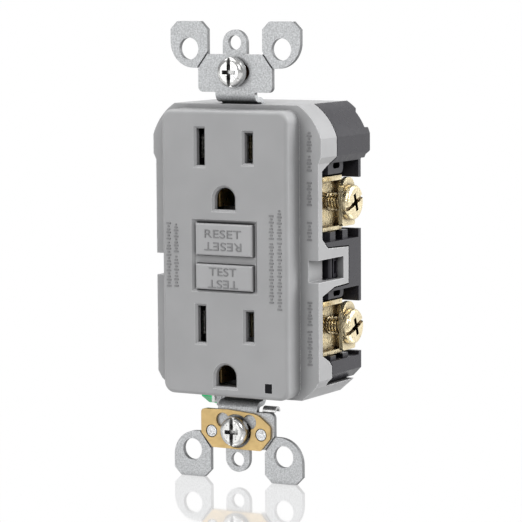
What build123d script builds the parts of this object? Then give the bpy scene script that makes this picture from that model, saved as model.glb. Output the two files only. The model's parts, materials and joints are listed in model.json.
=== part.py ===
from build123d import *
import math
import os

# Ground-fault receptacle, in millimetres. X runs to the right as seen from the room,
# Y into the wall and Z up. The origin is midway between the two device mounting
# screws, on the back face of the mounting strap, which is the face that meets the box.

# ---- driving dimensions ----
SCREW_PITCH = 83.34          # device mounting screws, centre to centre
PLATE_PITCH = 96.82          # wall plate screw holes, centre to centre
STRAP_HEIGHT = 106.5
STRAP_THICK = 1.2
FACE_Y = -6.75               # plane of the raised face
FLANGE_Y = -1.0              # plane of the wide flange behind it
WALL = 1.6                   # moulded wall thickness
SEAM = 0.15                  # gap between moulded parts
BACK_Y = 20.0                # back of the rear housing
UPPER_BACK_Y = 21.7          # its back above the upper terminals
LOBE_BACK_Y = 23.4           # and at the corner pads

FACE_HALF = 16.6
FACE_TOP = 33.1
FACE_LOW = -33.0
FACE_CORNER = 2.6
FACE_EDGE = 0.9

FLANGE_TOP = 34.3
FLANGE_LOW = -33.5
FLANGE_HALF = 21.5
LOBE_HALF = 22.2
LATCH_HALF = 16.3            # half width of the wrap-around panel on top
PANEL_BACK_TOP = 22.0
PANEL_BACK_LOW = 18.0
NOTCH_Z = (-6.1, -1.0)       # finger notch and latch window at mid height
NOTCH_X = 18.87
POCKET_BACK = 5.6            # the notch's own floor runs back to here
WINDOW_BACK = 11.2

# receptacle geometry
BLADE_X = 6.35
BLADE_ROWS = (24.6, -16.4)
GROUND_ROWS = (12.7, -28.3)
SLOT_WIDTH = 2.1
HOT_SLOT = 7.0
NEUTRAL_SLOT = 8.5
SLOT_BEVEL = 0.55
GROUND_R = 2.71
GROUND_FLAT = 2.4            # flat side of the ground hole, below its arch centre
PIN_CLEAR_R = 3.3

# buttons
BUTTON_HALF = 7.5
RESET_Z = (-0.3, 7.1)
TEST_Z = (-8.2, -2.3)
BUTTON_FRONT = -7.1
BUTTON_BACK = -3.6
BUTTON_GAP = 0.15
WELL_X = 8.7
WELL_Z = (-8.85, 8.0)
WELL_DEPTH = 0.75
RESET_AXIS_Z = 3.4
TEST_AXIS_Z = -5.25
PRESS_TRAVEL = 1.5           # both buttons, into the face
TEST_STEM_END = 4.2
STEM_R = 1.2
STEM_BORE = 1.25

# side terminals: screw height, the recess round each, and the notch behind it
TERMINAL_ROWS = {"load": 11.6, "line": -17.2}
RECESS_Z = {"load": (2.8, 20.9), "line": (-24.9, -8.6)}
BACK_NOTCH_Z = {"load": (4.8, 16.8), "line": (-24.0, -12.2)}
TERMINAL_Y = 11.0
RECESS_X = 14.2
TERMINAL_R = 2.05
TERMINAL_HEAD_R = 4.1
TERMINAL_FRONT_X = 24.9
CLAMP_X = (22.0, 23.0)
CLAMP_HALF = 3.1
SCREW_TRAVEL = 1.985         # two and a half turns of a 32-per-inch screw
SCREW_TIP_X = 15.2
TERMINAL_PLATE_X = (16.8, 18.0)
RIM_TALL = 1.6               # raised rim round the terminal plate

# inside
CHANNEL_HALF = 12.8          # half width of the housing's middle channel
SEPARATOR_Y = (3.6, 4.7)
STRAP_INNER_Y = (2.2, 3.4)
BOARD_Y = (15.5, 17.0)
COIL_Z = -8.6                # axis of the sense coils
SOLENOID = (10.8, 0.9)       # Y and Z of the trip solenoid's axis
ARM_X = (10.5, 12.1)
ARM_Y = (9.0, 9.4)
ARM_PIVOT_Z = -9.3
ARM_TIP_Z = 6.2
LATCH_Y = (12.1, 12.6)

# ground terminal, low on the left
GROUND_SCREW_YZ = (8.8, -33.3)
GROUND_TIP_X = -6.1

FRONT = Plane((0, 0, 0), x_dir=(1, 0, 0), z_dir=(0, -1, 0))
SIDE = Plane.YZ


# ---- helpers ----
def block(x, y, z):
    """Box between a low and a high coordinate on each axis."""
    spans = (x, y, z)
    middle = [(low + high) / 2 for low, high in spans]
    size = [high - low for low, high in spans]
    return Pos(*middle) * Box(*size)


def rod_x(x, y, z, r):
    return Pos(sum(x) / 2, y, z) * Rot(0, 90, 0) * Cylinder(r, x[1] - x[0])


def rod_y(x, y, z, r):
    return Pos(x, sum(y) / 2, z) * Rot(90, 0, 0) * Cylinder(r, y[1] - y[0])


def prism_y(face, y):
    """Extrude an outline drawn in X and Z between two depths."""
    return extrude(FRONT.offset(-y[1]) * face, amount=y[1] - y[0])


def prism_x(face, x):
    """Extrude an outline drawn in Y and Z between two widths."""
    return extrude(SIDE.offset(x[0]) * face, amount=x[1] - x[0])


def outline(points, radii=0.0):
    return make_face(FilletPolyline(*points, radius=radii, close=True))


def bevelled_cut(face, y, depth):
    """Cutter with 45 degree sides that starts at face's full size at y and runs inward."""
    start = FRONT.offset(-y) * face
    return extrude(start, amount=-depth, taper=45)


def flipped(shape):
    return mirror(shape, Plane.YZ)


def both_sides(shape):
    return shape + flipped(shape)


def upside_down(shape):
    return mirror(shape, Plane.XY)


def side_pair(shape, names):
    """The piece as made for the right side, and its mirror image for the left."""
    return {names[0]: shape, names[1]: flipped(shape)}


def mirrored_face(points):
    """Right half of an outline closed down the middle, then mirrored."""
    half = make_face(Polyline(*points, close=True))
    return half + mirror(half, Plane.YZ)


# ---- outlines of the moulded body ----
CORNER_START = (LATCH_HALF, FLANGE_TOP)
CORNER_MID = (20.2, 30.75)
CORNER_END = (LOBE_HALF, 26.8)


def right_side_edges(top_start, low_points):
    """Edges of a right half: a top edge, the big curved corner, then straight runs."""
    top = Polyline(*top_start, CORNER_START)
    corner = ThreePointArc(CORNER_START, CORNER_MID, CORNER_END)
    shoulder = [CORNER_END, (LOBE_HALF, 22.5), (FLANGE_HALF, 21.0)]
    side = Polyline(*shoulder, *low_points, top_start[0])
    half = make_face(Curve() + [top, corner, side])
    return half + mirror(half, Plane.YZ)


def flange_face():
    low = [(FLANGE_HALF, -28.8), (20.5, -30.5), (17.0, FLANGE_LOW), (0, FLANGE_LOW)]
    return right_side_edges([(0, FLANGE_TOP)], low)


def housing_face():
    """Outside of the rear housing, stepped in under the cover's two wrap-around panels."""
    under_panel = 32.3
    top = [(0, under_panel), (LATCH_HALF + SEAM, under_panel), (LATCH_HALF + SEAM, FLANGE_TOP - 0.1)]
    low = [(FLANGE_HALF, -28.0), (19.3, -30.25), (18.05, -30.25), (16.35, -31.75), (0, -31.75)]
    return right_side_edges(top, low)


def behind_skirt():
    """Region in Y and Z behind the stepped back edge of the cover's side skirt."""
    far = 26.0
    edge = [
        (6.7, 36.0), (6.7, 22.2), (5.0, 21.2), (0.8, 19.3), (0.8, 3.7), (3.6, 1.45),
        (13.7, 1.0), (13.7, -7.5), (6.7, -7.7), (0.8, -9.4), (0.8, -23.2), (4.1, -24.8),
        (5.3, -26.0), (5.3, -28.7), (4.1, -29.6), (4.1, -30.4), (far, -30.4), (far, 36.0),
    ]
    return outline(edge)


# ---- cover and buttons ----
def ground_hole_face():
    """Arch on top, flat below."""
    lower = Pos(0, -GROUND_FLAT / 2) * Rectangle(2 * GROUND_R, GROUND_FLAT)
    limit = Pos(0, (GROUND_R - GROUND_FLAT) / 2) * Rectangle(2 * GROUND_R, GROUND_R + GROUND_FLAT)
    return (Circle(GROUND_R) + lower) & limit


def ground_lead(row):
    """Bevelled lead-in: a cone round the arch and a tapered block below it."""
    cone = Cone(GROUND_R, GROUND_R + SLOT_BEVEL, SLOT_BEVEL)
    arch = Pos(0, FACE_Y + SLOT_BEVEL / 2, row) * Rot(90, 0, 0) * cone
    tall = GROUND_FLAT + 2 * SLOT_BEVEL
    lower = Pos(0, row - GROUND_FLAT / 2) * Rectangle(2 * (GROUND_R + SLOT_BEVEL), tall)
    return arch - block((-9, 9), (-9, 9), (row - 9, row)) + bevelled_cut(lower, FACE_Y, SLOT_BEVEL)


def receptacle_cuts():
    """Blade slots and ground holes, each with its bevelled lead-in."""
    through = (FACE_Y - 1, FLANGE_Y - 2)
    cuts = []
    for row in BLADE_ROWS:
        for x, tall in ((BLADE_X, HOT_SLOT), (-BLADE_X, NEUTRAL_SLOT)):
            slot = Pos(x, row) * Rectangle(SLOT_WIDTH, tall)
            lead = Pos(x, row) * Rectangle(SLOT_WIDTH + 2 * SLOT_BEVEL, tall + 2 * SLOT_BEVEL)
            cuts += [prism_y(slot, through), bevelled_cut(lead, FACE_Y, SLOT_BEVEL)]
    for row in GROUND_ROWS:
        cuts.append(prism_y(Pos(0, row) * ground_hole_face(), through))
        cuts.append(ground_lead(row))
    return cuts


def button_cuts():
    well = Pos(0, sum(WELL_Z) / 2) * Rectangle(2 * WELL_X, WELL_Z[1] - WELL_Z[0])
    cuts = [bevelled_cut(well, FACE_Y, WELL_DEPTH)]
    for low, high in (RESET_Z, TEST_Z):
        opening = Pos(0, (low + high) / 2) * Rectangle(
            2 * (BUTTON_HALF + BUTTON_GAP), high - low + 2 * BUTTON_GAP
        )
        cuts.append(prism_y(opening, (FACE_Y - 1, FLANGE_Y - 2)))
    return cuts


LENS_X = (10.5, 12.35)
LENS_Z = (-31.4, -29.2)
POSTS_TOP = (15.6, 27.3)
POSTS_LOW = (15.0, -28.4)
POST_R = 2.4
POST_PILOT = 1.35
HOUSING_SCREW_R = 1.3


def front_cover():
    plate = flange_face()
    shell = prism_y(plate, (FLANGE_Y, PANEL_BACK_TOP))
    shell -= prism_y(offset(plate, -WALL), (FLANGE_Y + 1.8, PANEL_BACK_TOP + 1))
    outer = (LATCH_HALF, LOBE_HALF + 1)
    shell -= both_sides(prism_x(behind_skirt(), outer))
    shell -= block((-30, 30), (PANEL_BACK_LOW, 30), (-40, 0))
    face = Pos(0, (FACE_TOP + FACE_LOW) / 2) * RectangleRounded(
        2 * FACE_HALF, FACE_TOP - FACE_LOW, FACE_CORNER
    )
    boss = prism_y(face, (FACE_Y, FLANGE_Y + 0.5))
    front_edges = boss.faces().sort_by(Axis.Y)[0].edges()
    boss = fillet(front_edges, FACE_EDGE)
    cover = shell + boss
    cover -= prism_y(offset(face, -WALL - 0.1), (FACE_Y + 1.75, FLANGE_Y + 2.5))
    for x, z in (POSTS_TOP, POSTS_LOW):
        post_end = SEPARATOR_Y[1] - SEAM
        cover += both_sides(rod_y(x, (FLANGE_Y + 1.0, post_end), z, POST_R))
        cover -= both_sides(rod_y(x, (FLANGE_Y + 0.6, post_end + 1), z, POST_PILOT))
    for cut in receptacle_cuts() + button_cuts():
        cover -= cut
    pocket_wall = (NOTCH_Z[0] - 1.2, NOTCH_Z[1] + 1.2)
    pocket_x = (NOTCH_X - 1.2, FLANGE_HALF - 0.5)
    cover += both_sides(block(pocket_x, (FLANGE_Y + 1.0, POCKET_BACK), pocket_wall))
    cover -= both_sides(block((NOTCH_X, 25), (FLANGE_Y - 1, WINDOW_BACK), NOTCH_Z))
    cover -= block(LENS_X, (FACE_Y - 1, 1), LENS_Z)
    for side in (1, -1):
        strap_leg = sorted((side * 31.5, side * 36.0))
        beside_leg = (-NECK_HALF - SEAM, NECK_HALF + SEAM)
        cover -= block(beside_leg, (1.4, STRAP_INNER_Y[1] + 0.6), strap_leg)
    cover -= ground_recess()
    return cover


def button(z):
    """Cap with softened edges and a guide skirt behind it."""
    low, high = z
    cap = block((-BUTTON_HALF, BUTTON_HALF), (BUTTON_FRONT, BUTTON_BACK), z)
    rim = cap.faces().sort_by(Axis.Y)[0].edges()
    cap = fillet(rim, 0.45)
    inner = block((-BUTTON_HALF + 1, BUTTON_HALF - 1), (BUTTON_BACK - 1.6, 0), (low + 1, high - 1))
    return cap - inner


def reset_button():
    seat = rod_y(0, (BUTTON_BACK - 1.8, BUTTON_BACK), RESET_AXIS_Z, 2.0)
    return button(RESET_Z) + seat - rod_y(0, (BUTTON_BACK - 1.0, 0), RESET_AXIS_Z, STEM_R)


def reset_stem():
    """Steel pin that the latch catches by its neck."""
    stem = rod_y(0, (BUTTON_BACK - 1.0, LATCH_Y[1] + 1.2), RESET_AXIS_Z, STEM_R)
    waist = (LATCH_Y[0] - PRESS_TRAVEL - 0.2, LATCH_Y[1] + 0.35)
    ring = rod_y(0, waist, RESET_AXIS_Z, STEM_R + 1) - rod_y(0, (0, 20), RESET_AXIS_Z, 0.8)
    return stem - ring


def test_button():
    stem = rod_y(0, (BUTTON_BACK - 1.8, TEST_STEM_END), TEST_AXIS_Z, 0.9)
    return button(TEST_Z) + stem


def coil_spring(x, y, z, radius, wire, turns):
    """Compression spring along Y."""
    length = y[1] - y[0] - 2 * wire
    path = Helix(pitch=length / turns, height=length, radius=radius)
    start = Plane(origin=path @ 0, z_dir=path % 0)
    coil = sweep(start * Circle(wire), path=path)
    return Pos(x, y[1] - wire, z) * Rot(90, 0, 0) * coil


# ---- strap ----
NECK_HALF = 5.2
BEND_IN = 0.8
NECK_Z = 34.7                # lower face of the run that carries the neck backwards
EAR_X = (7.25, 17.1)
EAR_Z = (42.5, STRAP_HEIGHT / 2)
EAR_HOLE = (12.2, 46.92)
EAR_HOLE_R = 2.55
PLATE_RIVETS = ((-6.6, -42.1), (6.6, -42.1))
RIVET_R = 0.9
PLATE_HOLE_R = 1.7


def strap_end_face():
    """Ear, centre tab and screw plate at the top end, drawn in X and Z."""
    low, high = EAR_Z
    inner, outer = EAR_X
    ear_points = [(inner, low), (outer, low), (outer, high), (inner, high)]
    ear = make_face(Polyline(*ear_points, close=True))
    corners = ear.vertices()
    ear = fillet(corners.sort_by_distance((outer, low))[0], 6.0)
    for corner in ((outer, high), (inner, high)):
        ear = chamfer(ear.vertices().sort_by_distance(corner)[0], 1.8)
    ear -= Pos(*EAR_HOLE) * Circle(EAR_HOLE_R)
    plate = outline(
        [(-9.75, 37.0), (9.75, 37.0), (9.75, 42.8), (7.25, 45.7), (-7.25, 45.7), (-9.75, 42.8)],
        [1.2, 1.2, 0, 0.4, 0.4, 0],
    )
    tab_half = 3.15
    tab_top = STRAP_HEIGHT / 2 - 1.9
    tab = Pos(0, 47.0) * Rectangle(2 * tab_half, 2 * (tab_top - tab_half - 47.0))
    tab += Pos(0, tab_top - tab_half) * Circle(tab_half)
    face = plate + tab + ear + mirror(ear, Plane.YZ)
    face -= Pos(0, PLATE_PITCH / 2) * Circle(PLATE_HOLE_R)
    return face - Pos(0, SCREW_PITCH / 2) * SlotOverall(7.6, 4.2)


def score_grooves():
    """Break-off grooves across the front of both ears."""
    start, end = (7.25, 46.0), (9.9, 42.5)
    middle = ((start[0] + end[0]) / 2, (start[1] + end[1]) / 2)
    angle = math.degrees(math.atan2(end[1] - start[1], end[0] - start[0]))
    groove = Pos(*middle) * Rot(0, 0, angle) * Rectangle(5.4, 0.4)
    return both_sides(prism_y(groove, (-STRAP_THICK - 0.1, -STRAP_THICK + 0.45)))


def neck():
    """The neck rolls back over the housing's edge and drops inside it."""
    bend_out = BEND_IN + STRAP_THICK
    drop_y = STRAP_INNER_Y
    first = (-STRAP_THICK + bend_out, NECK_Z + bend_out)
    second = (drop_y[0] - BEND_IN, NECK_Z - BEND_IN)
    top_of_run = NECK_Z + STRAP_THICK
    profile = [
        (-STRAP_THICK, first[1] + 0.8), (-STRAP_THICK, NECK_Z), (drop_y[0], NECK_Z),
        (drop_y[0], second[1] - 1), (drop_y[1], second[1] - 1), (drop_y[1], top_of_run),
        (0, top_of_run), (0, first[1] + 0.8),
    ]
    radii = [0, bend_out, BEND_IN, 0, 0, bend_out, BEND_IN, 0]
    return prism_x(outline(profile, radii), (-NECK_HALF, NECK_HALF))


def strap_middle():
    """Flat part inside the body: waisted beside the blades, windowed behind the buttons."""
    waist = 3.7
    end = NECK_Z - BEND_IN - 0.9
    wide = NECK_HALF
    right = [
        (0, end), (wide, end), (wide, 29.2), (waist, 28.6), (waist, 20.4), (wide, 19.6),
        (wide, -12.0), (waist, -12.6), (waist, -20.4), (wide, -21.2), (wide, -end), (0, -end),
    ]
    face = mirrored_face(right)
    face -= Pos(0, -1.0) * Rectangle(7.6, 16.0)
    for row in GROUND_ROWS:
        face -= Pos(0, row) * Circle(PIN_CLEAR_R)
    return prism_y(face, STRAP_INNER_Y)


def ground_tab():
    """Ear of the strap that turns back beside the body and takes the ground screw."""
    y, z = GROUND_SCREW_YZ
    root = block((-7.5, -NECK_HALF + 0.5), STRAP_INNER_Y, (-33.0, -29.6))
    wing = block((-7.5, -6.3), (STRAP_INNER_Y[0], y + 4.2), (z - 3.4, z + 3.2))
    return root + wing - rod_x((-8, -6), y, z, TERMINAL_R + 0.06)


def mounting_strap():
    top = prism_y(strap_end_face(), (-STRAP_THICK, 0)) - score_grooves()
    ends = top + neck()
    strap = ends + upside_down(ends) + strap_middle() + ground_tab()
    for x, z in PLATE_RIVETS:
        strap -= rod_y(x, (-STRAP_THICK - 1, 1), z, RIVET_R + 0.05)
    return strap


BRASS_Y = (-1.85, -STRAP_THICK)


def grounding_plate():
    """Brass wear plate that the lower mounting screw bears on."""
    face = outline(
        [(-9.4, -36.95), (-2.0, -36.75), (5.6, -37.4), (9.05, -40.0), (9.05, -42.9), (6.4, -45.9),
         (-6.4, -45.9), (-9.4, -42.6)],
        [0.9, 9.0, 4.5, 1.5, 0.6, 0.3, 0.3, 0.6],
    )
    z = -SCREW_PITCH / 2
    face -= Pos(0, z) * Circle(3.95)
    for side in (-1, 1):
        face -= Pos(side * 3.6, z + 2.35) * Circle(1.75)
    for x, rivet_z in PLATE_RIVETS:
        face -= Pos(x, rivet_z) * Circle(1.5)
    plate = prism_y(face, BRASS_Y)
    return plate


def plate_rivets():
    """Two rivets, their heads flush in the brass and their tails staked behind the strap."""
    rivets = []
    for x, z in PLATE_RIVETS:
        head = rod_y(x, (BRASS_Y[0] + 0.05, BRASS_Y[1]), z, 1.3)
        shank = rod_y(x, (BRASS_Y[1] - 0.1, 0.1), z, RIVET_R)
        tail = rod_y(x, (0.0, 0.5), z, 1.4)
        rivets.append(head + shank + tail)
    return rivets


def grounding_spring():
    """Spring leaf behind the lower screw plate, with a curled lip at its upper corner."""
    leaf = block((-8.6, 9.0), (0.05, 0.5), (-40.5, -37.6))
    leaf -= rod_y(0, (-1, 2), -SCREW_PITCH / 2, 2.4)
    curl = rod_x((6.0, 9.4), 1.25, -36.9, 1.25) - rod_x((5, 10), 1.25, -36.9, 0.8)
    curl -= block((5, 10), (-1, 3), (-40, -36.9))
    stem = block((6.0, 9.0), (0.05, 0.5), (-38.0, -36.8))
    return leaf + stem + curl


def phillips_recess(y, depth, reach, width):
    """Cross recess facing -Y."""
    cross = Rectangle(2 * reach, width) + Rectangle(width, 2 * reach)
    return prism_y(cross, (y - 1, y + depth))


THREAD_START = 1.6           # the 6-32 thread begins behind the strap and its washer
THREAD_R = 1.75
MOUNTING_TIP_Y = 14.3


def mounting_screw(z):
    """6-32 combination-head screw with a domed head."""
    head_front, head_back = -4.15, BRASS_Y[0] - 0.1
    radius = 3.45
    head = rod_y(0, (head_front, head_back), z, radius)
    rim = head.faces().sort_by(Axis.Y)[0].edges()
    head = fillet(rim, 1.2)
    head -= Pos(0, 0, z) * phillips_recess(head_front, 1.5, 1.75, 0.95)
    head -= block((-0.45, 0.45), (head_front - 1, head_front + 0.9), (z - 4, z + 4))
    thread = rod_y(0, (THREAD_START, MOUNTING_TIP_Y), z, THREAD_R)
    tip = thread.faces().sort_by(Axis.Y)[-1].edges()
    plain = rod_y(0, (head_back - 0.3, THREAD_START + 0.1), z, THREAD_R - 0.2)
    return head + plain + chamfer(tip, 0.5)


def screw_retainers():
    """Fibre washers that keep the mounting screws in the strap."""
    washers = []
    for side in (1, -1):
        z = side * SCREW_PITCH / 2
        washers.append(rod_y(0, (0.65, 1.35), z, 4.2) - rod_y(0, (0, 2), z, 1.82))
    return washers


def ground_contact(row):
    """Two brass tines that grip the ground pin, on a foot riveted to the strap."""
    tine = block((2.4, 2.9), (-4.3, STRAP_INNER_Y[0]), (row - 1.9, row + 1.9))
    foot = block((2.4, 4.6), (STRAP_INNER_Y[0] - 0.5, STRAP_INNER_Y[0]), (row - 1.9, row + 1.9))
    bridge_z = (row + 1.9, row + 4.2)
    side = tine + foot + block((2.4, 4.6), (STRAP_INNER_Y[0] - 0.5, STRAP_INNER_Y[0]), bridge_z)
    bridge = block((-4.6, 4.6), (STRAP_INNER_Y[0] - 0.5, STRAP_INNER_Y[0]), (row + 3.5, row + 4.2))
    return both_sides(side) + bridge


def ground_screw():
    """Green hex-head screw, its axis along X, head outward on the left."""
    y, z = GROUND_SCREW_YZ
    hexagon = RegularPolygon(4.0, 6, rotation=30)
    head = prism_x(Pos(y, z) * hexagon, (-13.4, -11.0))
    flange = rod_x((-11.0, -10.45), y, z, 4.1)
    slot = block((-14, -12.5), (y - 5, y + 5), (z - 0.45, z + 0.45))
    shank = rod_x((-10.5, GROUND_TIP_X), y, z, TERMINAL_R)
    return head + flange + shank - slot


def ground_clamp():
    """Square pressure washer carried by the ground screw."""
    y, z = GROUND_SCREW_YZ
    plate = block((-10.4, -9.65), (y - 3.9, y + 3.9), (z - 3.2, z + 3.2))
    return plate - rod_x((-11, -9), y, z, TERMINAL_R + 0.08)


def ground_recess():
    """Space cut from the lower left corner for the ground terminal and its screw tip."""
    y, z = GROUND_SCREW_YZ
    tip = GROUND_TIP_X + SCREW_TRAVEL + 0.2
    space = block((-17.3, -5.9), (1.9, y + 5.0), (-40, z + 4.35))
    return space + block((-6, tip), (y - 2.3, y + 2.3), (-40, z + 2.3))


# ---- rear housing and separator ----
def channel_face():
    """Middle channel of the housing, stepped round the ground terminal."""
    half = CHANNEL_HALF
    low = -30.85
    step = (-3.0, -26.8)
    return outline([(-half, 31.0), (half, 31.0), (half, low), (step[0], low), step, (-half, step[1])])


def terminal_recesses(y_front):
    """Cutters for both right-hand terminals: a pocket, and a notch right through the back."""
    cuts = []
    for name in TERMINAL_ROWS:
        cuts.append(block((RECESS_X, 30), (y_front, BACK_Y - 1.2), RECESS_Z[name]))
        cuts.append(block((RECESS_X, 30), (y_front, BACK_Y + 5), BACK_NOTCH_Z[name]))
    return cuts


LUG_OUTER_X = 20.6


def housing_lugs():
    """Moulded lugs above and below the right-hand terminals that guide the wires."""
    across = (RECESS_X - 0.5, LUG_OUTER_X)
    lugs = Part()
    for name, row in TERMINAL_ROWS.items():
        bottom, top = RECESS_Z[name]
        upper = block(across, (5.4, 12.8), (row + 6.6, top + 0.1))
        upper = fillet(upper.edges().filter_by(Axis.X).sort_by(Axis.Y)[-2:].sort_by(Axis.Z)[0], 1.2)
        eye = SIDE.offset(LUG_OUTER_X) * Pos(9.5, top - 0.8) * SlotOverall(3.4, 1.4)
        lugs += upper - extrude(eye, amount=-2.0)
        for y in ((6.3, 8.9), (12.4, 15.0)):
            lugs += block(across, y, (bottom - 0.1, row - 6.7))
    return lugs


def latch_chamber():
    """Space in the housing's side behind the cover's notch and window."""
    low, high = NOTCH_Z
    front = block((NOTCH_X - 1.4, 30), (-1, POCKET_BACK + SEAM), (low - 1.4, high + 1.4))
    behind = (POCKET_BACK, WINDOW_BACK)
    return front + block((NOTCH_X - 1.4, 30), behind, (low + 0.2, high - 0.2))


def housing_latch():
    """Catch in that chamber: a front bar, and a hooked block that holds the window's edge."""
    z = (NOTCH_Z[0] + 0.3, NOTCH_Z[1] - 0.3)
    bar = block((NOTCH_X - 1.6, 20.2), (6.9, 8.2), z)
    hook = block((NOTCH_X - 1.6, 19.9), (9.0, WINDOW_BACK - 0.1), z)
    hook -= block((19.0, 25), (9.5, WINDOW_BACK - 0.6), (z[0] + 0.8, z[1] - 0.8))
    edge = bar.edges().filter_by(Axis.Z).sort_by(Axis.X)[-2:]
    return chamfer(edge, 0.4) + hook


def rear_housing():
    outside = housing_face()
    inner_wall = offset(flange_face(), -WALL - SEAM)
    liner_front = SEPARATOR_Y[1] + SEAM
    keep = prism_x(offset(behind_skirt(), -2 * SEAM), (-30, 30))
    outer = prism_y(outside, (0.0, BACK_Y)) & keep
    outer -= prism_y(inner_wall, (-1, liner_front))
    body = outer + prism_y(inner_wall & outside, (liner_front, BACK_Y))
    upper = block((-30, 30), (BACK_Y - 1, UPPER_BACK_Y), (21.2, 40))
    body += prism_y(outside, (BACK_Y - 1, UPPER_BACK_Y)) & upper
    lobe_side = outline([(19, 21.2), (20, 21.2), (LOBE_BACK_Y, 22.8), (LOBE_BACK_Y, 28.2), (19, 28.2)])
    lobes = both_sides(prism_x(lobe_side, (13.5, 30)))
    lobes += both_sides(block((12.0, 18.6), (BACK_Y, LOBE_BACK_Y - 0.2), (31.0, 40)))
    body += prism_y(outside, (BACK_Y - 1, LOBE_BACK_Y)) & lobes
    body -= prism_y(channel_face(), (-1, BACK_Y - WALL))
    for cut in terminal_recesses(-1):
        body -= both_sides(cut)
    for x, z in (POSTS_TOP, POSTS_LOW):
        back = UPPER_BACK_Y if z > 0 else BACK_Y
        body -= both_sides(rod_y(x, (-1, 30), z, HOUSING_SCREW_R + 0.3))
        body -= both_sides(rod_y(x, (back - 2.2, 30), z, 2.9))
    body -= both_sides(terminal_wall_holes())
    body -= both_sides(latch_chamber())
    body += both_sides(housing_lugs()) + both_sides(housing_latch())
    return body - ground_recess()


def terminal_wall_holes():
    """Slots for the strips, and blind pockets for the screw tips, in the recess wall."""
    holes = Part()
    for name, z in TERMINAL_ROWS.items():
        strip = STRIP_Y[name]
        through = (CHANNEL_HALF - 1, RECESS_X + 1)
        holes += block(through, (strip[0] - 0.1, strip[1] + 0.1), (z - 2.3, z + 2.3))
        holes += rod_x((SCREW_TIP_X - SCREW_TRAVEL - 0.2, RECESS_X + 1), TERMINAL_Y, z, 2.6)
    return holes


def separator():
    """Moulded tray between the strap and the contacts."""
    face = offset(flange_face(), -WALL - SEAM)
    plate = prism_y(face, SEPARATOR_Y)
    cuts = []
    for bottom, top in RECESS_Z.values():
        beside = (bottom - 0.4, top + 0.4)
        cuts.append(both_sides(block((RECESS_X - 0.4, 30), (-1, 30), beside)))
    for x, z in (POSTS_TOP, POSTS_LOW):
        cuts.append(both_sides(rod_y(x, (-1, 30), z, POST_R + SEAM)))
    for row in BLADE_ROWS:
        cuts.append(both_sides(block((4.6, 8.1), (-1, 30), (row - 3.0, row + 3.0))))
    for row in GROUND_ROWS:
        cuts.append(rod_y(0, (-1, 30), row, PIN_CLEAR_R))
    cuts.append(rod_y(0, (-1, 30), RESET_AXIS_Z, STEM_BORE))
    cuts.append(rod_y(0, (-1, 30), TEST_AXIS_Z, 1.2))
    cuts.append(block((LIGHT_PIPE_X[0] - 0.2, LIGHT_PIPE_X[1] + 0.2), (-1, 30), (-30.3, -29.1)))
    for cut in cuts:
        plate -= cut
    for row in BLADE_ROWS:
        well = block((3.9, 8.1), (SEPARATOR_Y[0], 11.4), (row - 3.7, row + 3.7))
        well -= block((4.6, 9), (0, 20), (row - 3.0, row + 3.0))
        plate += both_sides(well)
    beside_notch = (NOTCH_Z[0] - 1.4, NOTCH_Z[1] + 1.4)
    plate -= both_sides(block((NOTCH_X - 1.4, 30), (0, 30), beside_notch))
    ground_corner = block((-30, -4.9), (0, 30), (-40, -27.0))
    return plate - ground_corner


# ---- contacts and terminals ----
STRIP_Y = {"load": (5.6, 6.4), "line": (7.4, 8.0)}
BUS_X = (8.2, 9.0)
BUS_Y = (4.85, 7.1)


def blade_grip(row):
    """U-shaped grip for one plug blade on the right-hand side."""
    z = (row - 2.7, row + 2.7)
    inner = block((4.9, 5.5), (-3.6, 12.4), z)
    outer = block((7.2, 7.8), (-3.6, 12.4), z)
    base = block((4.9, 7.8), (11.8, 12.4), z)
    foot = block((7.5, BUS_X[0] + 0.3), (BUS_Y[0] + 6.6, 12.4), z)
    return inner + outer + base + foot


def receptacle_bus():
    """Load-side strip: two blade grips, the fixed contact and the load terminal plate."""
    low, high = BLADE_ROWS[1] - 2.7, BLADE_ROWS[0] + 2.7
    bus = block(BUS_X, BUS_Y, (low, high))
    for row in BLADE_ROWS:
        bus += blade_grip(row)
        bus += block(BUS_X, (BUS_Y[0], 12.4), (row - 2.7, row + 2.7))
    bus += block((BUS_X[1] - 0.2, 12.3), (6.4, BUS_Y[1]), (4.9, 7.5))
    bus += terminal_plate("load", BUS_X[1] - 0.4)
    return bus


def terminal_plate(name, inner_x):
    """Outer plate that the wire is clamped against, with the strip that leads inside."""
    z = TERMINAL_ROWS[name]
    low_x, high_x = TERMINAL_PLATE_X
    plate = block(TERMINAL_PLATE_X, (4.2, 14.9), (z - 6.6, z + 5.7))
    plate = fillet(plate.edges().filter_by(Axis.X), 0.8)
    rim_x = high_x + RIM_TALL
    shelf = block((low_x - 1.6, rim_x), (4.6, 14.0), (z + 4.9, z + 6.0))
    lip = block((high_x - 0.5, rim_x), (4.6, 14.0), (z - 6.6, z - 5.7))
    fold = block((high_x - 0.5, rim_x), (14.1, 14.9), (z - 5.9, z + 5.0))
    strip = block((inner_x, high_x), STRIP_Y[name], (z - 2.2, z + 2.2))
    hole = rod_x((low_x - 1, high_x + 1), TERMINAL_Y, z, TERMINAL_R + 0.07)
    collar = rod_x((low_x - 0.9, low_x + 0.1), TERMINAL_Y, z, 3.2)
    return plate + shelf + lip + fold + collar + strip - hole


def line_terminal():
    """Line terminal and the bar that carries its current through the sense coils."""
    strip = STRIP_Y["line"]
    z = TERMINAL_ROWS["line"]
    bar_z = (COIL_Z - 1.0, COIL_Z + 1.0)
    terminal = terminal_plate("line", ARM_X[0])
    terminal += block((ARM_X[0], ARM_X[1]), strip, (z - 2.2, bar_z[1]))
    terminal += block((0.5, ARM_X[1]), strip, bar_z)
    terminal += block((0.5, 1.7), (strip[0], 14.9), bar_z)
    terminal += block((0.5, ARM_X[1]), (14.4, 14.9), bar_z)
    terminal += block(ARM_X, (10.0, 14.9), (bar_z[0], bar_z[0] + 0.5))
    return terminal


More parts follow.
